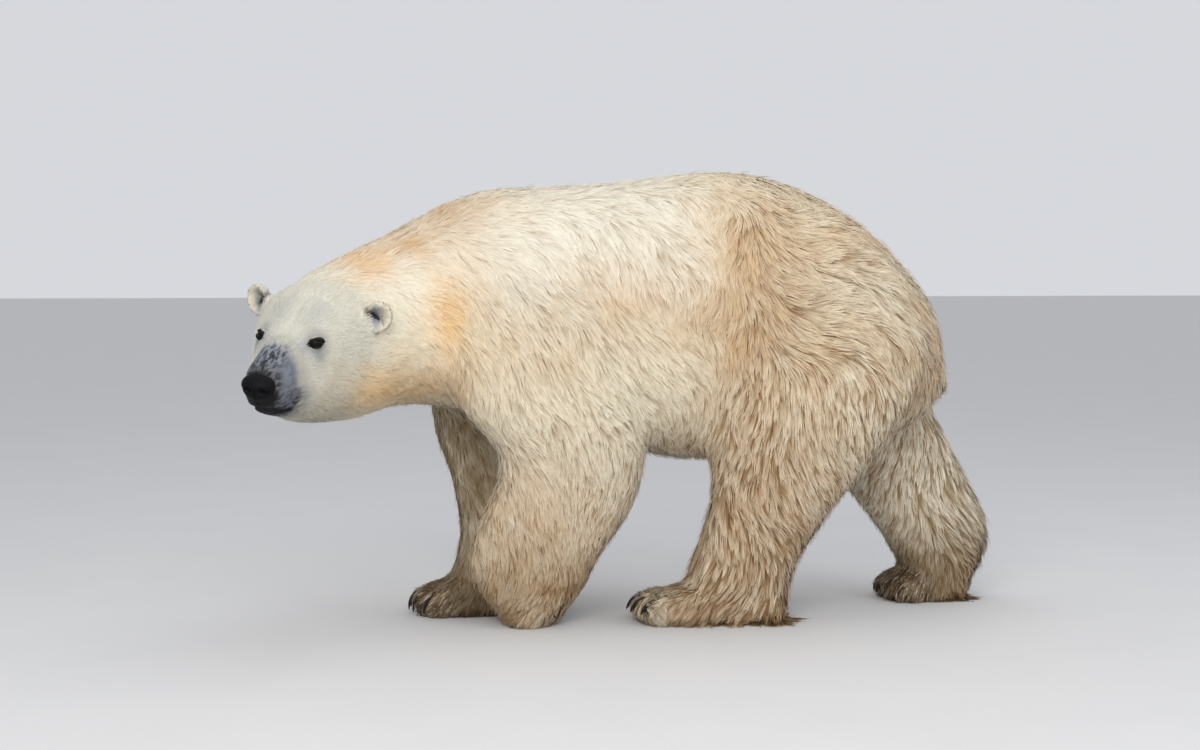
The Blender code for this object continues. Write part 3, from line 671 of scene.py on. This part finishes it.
def fan_of_feet(points):
    """Down the hind legs and near the floor the tufts spread forward and back."""
    ways = np.zeros((len(points), 3))
    height = np.where(points[:, 0] > 0.1, 0.62, 0.26)
    nearest = np.full(len(points), 0.3)
    for shin in SHINS:
        away = (points - box_centre(shin)) * (1, 1, 0)
        reach = np.hypot(away[:, 0], away[:, 1])
        here = reach < nearest
        nearest[here] = reach[here]
        ways[here] = away[here] * (1, 0.6, 0) / 0.13
    return np.clip(ways, -1, 1) * (0.8 * ease(height, 0.06, points[:, 2]))[:, None]


def from_ear_axis(points):
    """Outward from the middle of the nearer ear, across the head's own forward axis; and 1 on
    the side of the ear away from the crown, 0 on the other."""
    left = in_head(points)[:, 1] > 0
    away = np.where(left[:, None], points - EARS["left"], points - EARS["right"])
    away = unit(away - HEAD_AXES[0] * (away @ HEAD_AXES[0])[:, None])
    outward = (away @ HEAD_AXES[1]) * np.where(left, 1, -1) + 0.8 * (away @ HEAD_AXES[2])
    return away, ease(-0.45, 0.15, outward)


def lie_of_coat(points, normals, weights):
    ways = np.zeros((len(points), 3))
    back = -HEAD_AXES[0] - 0.25 * HEAD_AXES[2]
    for k, region in enumerate(REGIONS):
        ways += weights[:, k:k + 1] * LIE.get(region, back)
    # where the flank's tufts meet those of the haunch they turn down into a seam of wisps
    x, z = points[:, 0], points[:, 2]
    flank = ease(1.115, 1.02, z)
    seam = np.exp(-((x - 0.215) / 0.085) ** 2) * ease(0.5, 0.62, z) * flank
    over = np.exp(-((x - 0.43) / 0.13) ** 2) * ease(0.62, 0.74, z) * flank
    ways += seam[:, None] * (-0.95, 0, -0.35)
    ways += over[:, None] * (0.45, 0, 0.45)
    ways += fan_of_feet(points)
    ears = ease(0.062, 0.045, from_ears(points))[:, None]
    spread, outer = from_ear_axis(points)
    ways = ways * (1 - ears) + ears * (0.35 * back + 0.9 * spread * outer[:, None])
    ways = unit(ways - normals * np.sum(ways * normals, axis=1, keepdims=True))
    swirl = 0.42 * waves(points, 0.3, 21) + 0.3 * waves(points, 0.11, 22)
    body = 1 - weights[:, :REGIONS.index("neck")].sum(axis=1)
    legs = weights[:, REGIONS.index("forearm"):].sum(axis=1)
    return turned(ways, normals, swirl * (0.25 + 0.75 * body) * (1 - 0.6 * legs))


def scatter(mesh, weights, rng):
    """Roots of the tufts, even over the skin and closer where the tufts are smaller."""
    points, normals = vertex_array(mesh), normal_array(mesh)
    corners, loops = triangle_arrays(mesh)
    thick = weights @ [row[COVER] / (row[LENGTH] * row[WIDTH]) for row in COAT.values()]
    first, second, third = points[corners.T]
    area = 0.5 * reach_of(np.cross(second - first, third - first))
    share = np.cumsum(area * thick[corners].mean(axis=1))
    places = (np.arange(TUFTS) + rng.random(TUFTS)) / TUFTS * share[-1]
    face = np.searchsorted(share, places)
    a, b = rng.random((2, TUFTS))
    over = a + b > 1
    a[over], b[over] = 1 - a[over], 1 - b[over]
    mix = np.column_stack([1 - a - b, a, b])[:, :, None]
    uv = read_array(mesh.uv_layers["OFBake"].data, "uv", 2)
    return {
        "root": (points[corners[face]] * mix).sum(axis=1),
        "normal": unit((normals[corners[face]] * mix).sum(axis=1)),
        "weights": (weights[corners[face]] * mix).sum(axis=1),
        "uv": (uv[loops[face]] * mix).sum(axis=1),
    }


def near_skin(tree, points):
    """The nearest place on the skin and the skin's normal there."""
    places, normals = np.empty((2, *points.shape))
    for i, point in enumerate(points.tolist()):
        places[i], normals[i], _, _ = tree.find_nearest(point)
    return places, normals


def gather(roots, count, rng):
    """For each root the number of the nearest of a few chosen roots, in tall patches."""
    roots = roots * (1, 1, 0.6)
    chosen = rng.choice(len(roots), count, replace=False)
    tree = KDTree(count)
    for i, root in enumerate(roots[chosen].tolist()):
        tree.insert(root, i)
    tree.balance()
    found = np.array([tree.find(root)[1] for root in roots.tolist()])
    return chosen[found]


def hanging(root, normal, weights):
    """How far a tuft hangs free: along the belly, on the legs and tail, round the feet."""
    share = dict(zip(REGIONS, weights.T))
    legs = share["forearm"] + share["shank"] + share["thigh"] + share["arm"]
    under = ease(-0.45, -0.85, normal[:, 2]) * (share["belly"] + share["chest"])
    behind = ease(0.45, 0.9, normal[:, 0]) * legs
    before = ease(-0.6, -0.95, normal[:, 0]) * (share["thigh"] + share["shank"])
    foot = ease(0.075, 0.025, root[:, 2]) * (1 - between_toes(root)[1])
    free = 0.8 * under + 0.7 * behind + 0.4 * before + 0.9 * foot + 0.7 * share["tail"]
    return np.clip(free, 0, 1)


def above_claws(root, normal):
    """1 on top of the toes, where long fur reaches over the claws."""
    return ease(0.07, 0.04, from_claws(root)) * ease(0.0, 0.35, normal[:, 2])


def centre_lines(tufts, tree, rng):
    """The middle of every tuft at each station, lying over the skin and gathered in locks."""
    root, normal, weights = tufts["root"], tufts["normal"], tufts["weights"]
    count = len(root)
    depth, length, width, lock, wave, stray = (
        of_coat(weights, column) for column in (DEPTH, LENGTH, WIDTH, LOCKS, WAVE, STRAY))
    above = above_claws(root, normal)
    free = np.maximum(hanging(root, normal, weights), 0.5 * above)
    length *= rng.uniform(0.75, 1.25, count) * (1 + 0.15 * waves(root, 0.2, 5) + 0.25 * free)
    length *= 0.35 + 0.65 * ease(0.022, 0.05, from_eyes(root))
    lie = lie_of_coat(root, normal, weights)
    droop = 0.3 * normal + (1 - 0.6 * above)[:, None] * (0, 0, -0.55)
    lie = unit(lie + free[:, None] * droop)
    lie = turned(lie, normal, rng.normal(0, 0.1, count))
    side = unit(np.cross(normal, lie))

    # a lock is rounded: the tufts towards its edges lie lower, tilt outward and are painted
    # darker, as painted shade
    guide = gather(root, count // LOCK, rng)
    bundle = gather(root, count // BUNDLE, rng)
    off = np.sum((root - root[guide]) * side, axis=1)
    members = np.maximum(np.bincount(guide, minlength=count), 1)
    spread = np.sqrt(np.bincount(guide, off ** 2, count) / members)[guide]
    off = np.clip(off / (1.7 * spread + 0.0003), -1, 1)
    level = rng.random(count)[guide]
    cleft, claw = between_toes(root)
    length *= 1 + 0.25 * above
    height = depth * rng.uniform(0.7, 1.05, count) * (1 - 0.3 * lock * off ** 2)
    height *= (1 + 0.4 * lock ** 2 * (level - 0.5)) * (1 - 0.75 * cleft)
    height += (0.006 * claw + 0.003 * above) * (1 - cleft)

    rise = np.tile(RISE, (count, 1)).T
    rise[-1] += 0.27 * lock
    lines, ups = np.empty((2, count, len(STATIONS), 3))
    for i, t in enumerate(STATIONS):
        straight = root + lie * (length * t)[:, None]
        place, up = near_skin(tree, straight) if t > 0 else (root, normal)
        follow = (1 - 0.75 * free)[:, None]
        lines[:, i] = place * follow + straight * (1 - follow) + up * (height * rise[i])[:, None]
        ups[:, i] = up
    phase = rng.uniform(0, math.tau, count)[guide]
    lone = rng.random(count) < stray + 0.12 * free
    pull = np.where(lone, 0.2, 1.0) * lock
    guides = lines.copy()
    for i, t in enumerate(STATIONS):
        line = lines[:, i]
        line += (guides[guide, i] - line) * (TO_LOCK * pull * t ** 1.2)[:, None]
        line += (guides[bundle, i] - guides[guide, i]) * (TO_BUNDLE * pull * t ** 1.6)[:, None]
        sway = np.sin(phase + t * 4.2) * wave * length * SWAY * t
        line += side * sway[:, None]
        line += ups[:, i] * (lone * depth * STAND_OUT * ease(0.3, 1.0, t))[:, None]
    # what would sink into the floor spreads out over it
    sunk = np.maximum(FLOOR - lines[..., 2], 0)
    lines[..., :2] += (normal[:, None, :2] + 0.5 * lie[:, None, :2]) * sunk[..., None] * 0.6
    lines[..., 2] = np.maximum(lines[..., 2], FLOOR)

    tufts["line"], tufts["up"] = lines, ups
    tufts["tilt"] = side * (off * lock * 0.75)[:, None]
    tufts["width"] = width * rng.uniform(0.7, 1.25, count) * np.where(lone, 0.6, 1.0)
    # painted shade: darker towards the roots, at the edges of a lock, on the lower locks and in
    # the clefts between the toes, with some random tone
    steps = ease(0.75, 0.0, STATIONS)[None] * (0.12 + 0.8 * lock)[:, None]
    deep = 1.25 * np.abs(off) ** 3 + 1.1 * (1 - level) ** 3.4
    rest = 0.08 + rng.normal(0, 0.06, count) + lock ** 2 * deep + 0.6 * cleft
    tufts["shade"] = np.clip(steps + rest[:, None], 0, 1)


def tuft_mesh(name, tufts, rng):
    """Tufts as thin blades that narrow to a tip and look rounded, joined in one mesh."""
    lines, ups = tufts["line"], tufts["up"]
    count, last = len(lines), len(STATIONS) - 1
    along = unit(np.gradient(lines, axis=1))
    across = unit(np.cross(along, ups))
    roll = rng.normal(0, 0.25, count)[:, None, None]
    across = unit(across * np.cos(roll) + np.cross(across, along) * np.sin(roll))
    half = 0.5 * tufts["width"][:, None, None] * BLADE[None, :, None]
    rows = np.stack([lines - across * half, lines + across * half], axis=2)
    verts = np.concatenate([rows[:, :last].reshape(count, 2 * last, 3), lines[:, last:]], axis=1)
    verts[..., 2] = np.maximum(verts[..., 2], FLOOR / 2)
    per = 2 * last + 1
    pattern = [s + k for s in range(0, per - 3, 2) for k in (0, 1, 3, 2)]
    pattern += [per - 3, per - 2, per - 1]
    corners = (np.array(pattern)[None] + per * np.arange(count)[:, None]).ravel()
    totals = np.tile([4] * (last - 1) + [3], count)
    mesh = bpy.data.meshes.new(name)
    mesh.vertices.add(count * per)
    write_array(mesh.vertices, "co", verts)
    mesh.loops.add(len(corners))
    write_array(mesh.loops, "vertex_index", corners, np.int32)
    mesh.polygons.add(len(totals))
    write_array(mesh.polygons, "loop_start", np.cumsum(totals) - totals, np.int32)
    mesh.update(calc_edges=True)
    mesh.shade_smooth()
    outward = ups + tufts["tilt"][:, None]
    facing = np.stack([outward - 0.35 * across, outward + 0.35 * across], axis=2)[:, :last]
    facing = np.concatenate([facing.reshape(count, 2 * last, 3), outward[:, last:]], axis=1)
    mesh.normals_split_custom_set_from_vertices(unit(facing).reshape(-1, 3).tolist())

    place = np.zeros((per, 2))
    place[:-1, 0] = np.tile([-0.5, 0.5], last)
    place[:-1, 1] = np.repeat(STATIONS[:-1], 2) - 0.5
    place[-1] = (0.0, 0.5)
    uv = np.clip(tufts["uv"][:, None] + place[None] * PATCH, 0, 1).reshape(-1, 2)
    write_array(mesh.uv_layers.new(name="OFBake").data, "uv", uv[corners])
    steps = np.repeat(tufts["shade"], 2, axis=1)[:, :per]
    write_array(mesh.attributes.new("shade", "FLOAT", "POINT").data, "value", steps)
    paint(mesh, np.repeat(tufts["marks"], per, axis=0))
    return add_object(name, mesh)


def worth_keeping(tufts):
    """Not on the lids, the lips, the nose or the soles."""
    root = tufts["root"]
    forward, left, up = in_head(root).T
    lips = (np.abs(up - mouth_line(forward)) < 0.007) & (forward > MOUTH_CORNER)
    front = (forward > 0.165) & (np.abs(left) < 0.08)
    sole = (root[:, 2] < 0.012) & (tufts["normal"][:, 2] < -0.5)
    drop = ((lips | front) & (np.abs(up) < 0.2)) | sole
    for side in SIDES:
        along, above, out, reach = lid_shape(root, side)
        scale = reach / EYE_RADIUS
        drop |= (eye_ring(along * scale, above * scale) < 1.15) & (reach < 0.036) & (out > 0)
        drop |= in_ear(root, side)[1] > 0.5
    return ~drop


def make_coat(skin, weights):
    """The coat in pieces: each flesh node's tufts, those that cast shadows apart."""
    rng = np.random.default_rng(SEED)
    mesh = skin.data
    tufts = scatter(mesh, weights, rng)
    keep = worth_keeping(tufts)
    tufts = {key: value[keep] for key, value in tufts.items()}
    tufts["marks"] = markings_and_shade(tufts["root"])
    pale = ease(0.11, 0.06, from_claws(tufts["root"])) * 0.7
    pale *= rng.random(len(pale)) < 0.18
    tufts["marks"][:, :3] += (np.array(PALE) - tufts["marks"][:, :3]) * pale[:, None]
    corners, _ = triangle_arrays(mesh)
    tree = BVHTree.FromPolygons(vertex_array(mesh).tolist(), corners.tolist())
    centre_lines(tufts, tree, rng)
    node = np.array(FLESH)[nearest_nodes(tufts["root"])]
    pieces = []
    for name in FLESH:
        chosen = rng.permutation(np.flatnonzero(node == name))
        cast = int(len(chosen) * CASTING.get(name.split("_")[0], 0))
        for group, shadow in ((chosen[:cast], True), (chosen[cast:], False)):
            for share in np.array_split(group, max(1, -(-len(group) // MOST_TUFTS))):
                if len(share) == 0:
                    continue
                own = {key: value[share] for key, value in tufts.items()}
                piece = tuft_mesh(f"coat_{name}_{len(pieces) + 1}", own, rng)
                piece.visible_shadow = shadow
                pieces.append(piece)
    return pieces


# ---- materials ----
class Nodes:
    """A material's nodes, made and joined by short calls."""

    def __init__(self, name):
        self.name = name
        self.material = bpy.data.materials.new(name)
        self.material.use_nodes = True
        self.tree = self.material.node_tree
        self.shader = self.tree.nodes["Principled BSDF"]

    def fill(self, node, inputs):
        """Give inputs their values, or join them to the outputs of other nodes."""
        for key, value in inputs.items():
            if isinstance(value, bpy.types.NodeSocket):
                self.tree.links.new(value, node.inputs[key])
            else:
                node.inputs[key].default_value = value
        return node

    def add(self, kind, inputs, **settings):
        node = self.tree.nodes.new("ShaderNode" + kind)
        for key, value in settings.items():
            setattr(node, key, value)
        return self.fill(node, inputs)

    def place(self):
        return self.add("TexCoord", {}).outputs["Object"]

    def attribute(self, name):
        return self.add("Attribute", {}, attribute_name=name)

    def times(self, a, b):
        return self.add("Math", {0: a, 1: b}, operation="MULTIPLY", use_clamp=True).outputs[0]

    def mix(self, share, a, b, blend="MIX"):
        inputs = {"Factor": share, 6: a, 7: b}
        return self.add("Mix", inputs, data_type="RGBA", blend_type=blend).outputs[2]

    def multiply(self, a, b):
        return self.mix(1.0, a, b, "MULTIPLY")

    def tones(self, share):
        low, high = TONES[self.name]
        return self.mix(share, (*low, 1), (*high, 1))

    def mapped(self, place, scale, inputs={}, kind="POINT"):
        inputs = {**inputs, "Scale": scale, "Vector": place}
        return self.add("Mapping", inputs, vector_type=kind).outputs["Vector"]

    def noise(self, place, scale, detail=3.0):
        inputs = {"Scale": scale, "Detail": detail, "Vector": place}
        return self.add("TexNoise", inputs).outputs["Fac"]

    def head_noise(self, scale, detail=3.0):
        """Noise drawn out along the head."""
        inputs = {"Location": HEAD_ORIGIN, "Rotation": HEAD_TURN.to_euler()}
        place = self.mapped(self.place(), DRAWN_OUT, inputs, "TEXTURE")
        return self.noise(place, scale, detail)

    def hairs(self):
        """Fine streaks along a tuft, laid out on its patch of the unwrap."""
        patch = self.add("UVMap", {}, uv_map="OFBake").outputs["UV"]
        return self.noise(self.mapped(patch, HAIR_LINES), 1.0, 2.0)

    def ramp(self, value, *stops):
        node = self.add("ValToRGB", {0: value})
        elements = node.color_ramp.elements
        for element, (place, grey) in zip(elements, stops):
            element.position = place
            element.color = (grey, grey, grey, 1)
        return node.outputs[0]

    def bump(self, height, strength, distance):
        node = self.add("Bump", {"Strength": strength, "Distance": distance, "Height": height})
        self.fill(self.shader, {"Normal": node.outputs[0]})

    def finish(self, colour):
        rough, shine = FINISH[self.name]
        self.fill(self.shader, {
            "Base Color": colour, "Roughness": rough, "Specular IOR Level": shine})
        return self.material


def bear_colour(nodes):
    """The markings and painted shade, with the streaks of the bare skin of the muzzle worked out
    in place.
    """
    marks = nodes.attribute("markings_and_shade")
    wide = nodes.ramp(nodes.head_noise(120.0, 5.0), (0.45, 0.0), (0.58, 1.0))
    fine = nodes.ramp(nodes.head_noise(420.0), (0.35, 0.55), (0.6, 1.0))
    share = nodes.times(marks.outputs["Alpha"], nodes.times(wide, fine))
    return nodes.mix(share, marks.outputs["Color"], (*BLACK_SKIN_AND_SHADE, 1))


def coat_material():
    nodes = Nodes("coat")
    colour = bear_colour(nodes)
    # painted shade: the coat darkened by its shade attribute
    deep = nodes.multiply(colour, (*DEEP_TINT, 1))
    colour = nodes.mix(nodes.attribute("shade").outputs["Fac"], colour, deep)
    hairs = nodes.hairs()
    colour = nodes.multiply(colour, nodes.ramp(hairs, (0.3, 0.86), (0.7, 1.0)))
    nodes.fill(nodes.shader, {"Sheen Weight": 0.24, "Sheen Roughness": 0.45,
                              "Sheen Tint": colour})
    nodes.bump(hairs, 0.3, 0.0006)
    return nodes.finish(colour)


def skin_material():
    nodes = Nodes("skin")
    fur = nodes.head_noise(900.0)
    # painted shade: the skin under the coat darker than the coat
    colour = nodes.multiply(bear_colour(nodes), (*SKIN_TINT, 1))
    nodes.bump(fur, 0.45, 0.0015)
    return nodes.finish(nodes.multiply(colour, nodes.ramp(fur, (0.3, 0.84), (0.7, 1.0))))


def horn_material():
    nodes = Nodes("claw_horn")
    streak = nodes.noise(nodes.mapped(nodes.place(), (1, 1, 6)), 60.0, 4.0)
    nodes.bump(streak, 0.2, 0.001)
    return nodes.finish(nodes.tones(streak))


def nose_material():
    nodes = Nodes("nose_leather")
    cells = {"Scale": 420.0, "Vector": nodes.place()}
    pebble = nodes.add("TexVoronoi", cells).outputs["Distance"]
    nodes.bump(pebble, 0.35, 0.001)
    return nodes.finish(nodes.tones(pebble))


def noise_material(name, scale):
    """A plain material in two tones."""
    nodes = Nodes(name)
    return nodes.finish(nodes.tones(nodes.noise(nodes.place(), scale)))


def dress(thing, material):
    thing.data.materials.clear()
    thing.data.materials.append(material)
    return thing


# ---- nose and claws ----
def make_nose():
    """The pad of the nose: a rounded shield with a groove down its middle and two nostrils."""
    shape = bmesh.new()
    bmesh.ops.create_icosphere(shape, subdivisions=6, radius=1.0)
    for vert in shape.verts:
        f, l, u = vert.co
        out = abs(l)
        # a shield, wider above than below, with a flatter front
        across = NOSE_WIDE * (1.0 + 0.14 * u)
        f = f * NOSE_DEEP - 0.004 * max(f, 0) ** 2 * (u < 0)
        l, height = l * across, u * (NOSE_TOP if u > 0 else NOSE_FOOT)
        # nostrils: a round hole that runs out into a slit at the side
        hole = math.exp(-((out - 0.4) / 0.17) ** 2 - ((u + 0.08) / 0.2) ** 2)
        fall = u + 0.02 + 0.3 * (out - 0.4)
        slot = math.exp(-((out - 0.72) / 0.22) ** 2 - (fall / 0.09) ** 2)
        groove = math.exp(-(out / 0.045) ** 2) * (1 if u < 0.15 else 0)
        if vert.co[0] > 0:
            f -= HOLE_DEEP * hole + SLOT_DEEP * slot + CLEFT_OF_NOSE * groove
        vert.co = Vector(on_head(NOSE_FORWARD + f, l, NOSE_UP + height))
    bmesh.ops.recalc_face_normals(shape, faces=shape.faces)
    return to_object(shape, "nose_pad")


def make_claw(node):
    """A claw drawn as a smooth horn over the CAD claw's own shape."""
    shape = bmesh.new()
    shape.from_mesh(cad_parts[node].data)
    bmesh.ops.remove_doubles(shape, verts=shape.verts, dist=0.00002)
    shape.normal_update()
    points = points_of(shape)
    tip = points[points[:, 2].argmin()]
    away = reach_of(points - tip)
    root = ease(0.7, 1.0, away / away.max())
    paw = node[len("claw_"):-len("_1")]
    inward = unit(box_centre(paw) - points[away.argmax()])
    for vert, share in zip(shape.verts, root):
        vert.co += vert.normal * -CLAW_SHRINK + Vector(inward * share * CLAW_ROOT)
    claw = to_object(shape, node + "_horn")
    round_off = claw.modifiers.new("round", "SUBSURF")
    round_off.levels = round_off.render_levels = 2
    return applied(claw)


def make_eyeball(side):
    """A smooth eyeball with a slight bulge of the cornea."""
    out, _, _ = eye_axes(side)
    shape = bmesh.new()
    bmesh.ops.create_icosphere(shape, subdivisions=5, radius=1.0)
    for vert in shape.verts:
        bulge = 1 + 0.035 * ease(0.8, 0.95, vert.co @ Vector(out))
        vert.co = Vector(EYES[side]) + vert.co * (EYE_RADIUS * 0.985 * bulge)
    return to_object(shape, "eyeball_" + side)


# ---- floor, light and camera ----
def make_stage():
    shape = bmesh.new()
    bmesh.ops.create_grid(shape, x_segments=2, y_segments=2, size=40.0)
    floor = to_object(shape, "floor")
    floor.data.materials.append(noise_material("pale_floor", 3.0))
    world = bpy.data.worlds.new("studio")
    world.use_nodes = True
    background = world.node_tree.nodes["Background"]
    background.inputs["Color"].default_value = BACKGROUND
    background.inputs["Strength"].default_value = GLOW
    bpy.context.scene.world = world
    bpy.context.scene.view_settings.view_transform = "Standard"


def put(name, data, place, way):
    """A lamp or camera in its place, looking along the given way."""
    thing = add_object(name, data)
    thing.location = place
    thing.rotation_mode = "QUATERNION"
    thing.rotation_quaternion = way.to_track_quat("-Z", "Y")
    return thing


def make_light(name, place, aim, size, power, colour):
    data = bpy.data.lights.new(name, "AREA")
    data.shape, data.size, data.energy, data.color = "DISK", size, power, colour
    put(name, data, place, Vector(aim) - Vector(place))


def make_camera():
    data = bpy.data.cameras.new("camera")
    data.lens, data.sensor_width = LENS, SENSOR
    azimuth, elevation = CAMERA_AZIMUTH, CAMERA_ELEVATION
    back = Vector((math.sin(azimuth) * math.cos(elevation),
                   -math.cos(azimuth) * math.cos(elevation), math.sin(elevation)))
    place = Vector(CAMERA_AIM) + back * CAMERA_DISTANCE
    bpy.context.scene.camera = put("camera", data, place, -back)


def main():
    make_stage()
    for name, values in LIGHTS.items():
        make_light(name, *values)
    make_camera()

    skin, weights = make_skin()
    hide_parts(*FLESH)
    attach(dress(skin, skin_material()), "root")
    fur = coat_material()
    for piece in make_coat(skin, weights):
        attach(dress(piece, fur), "root")

    nose = make_nose()
    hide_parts("nose")
    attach(dress(nose, nose_material()), "root")
    horn = horn_material()
    for node in CLAWS:
        claw = make_claw(node)
        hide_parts(node)
        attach(dress(claw, horn), "root")
    wet = noise_material("eye_wet", 260.0)
    for side in SIDES:
        ball = make_eyeball(side)
        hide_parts("eye_" + side)
        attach(dress(ball, wet), "root")


main()
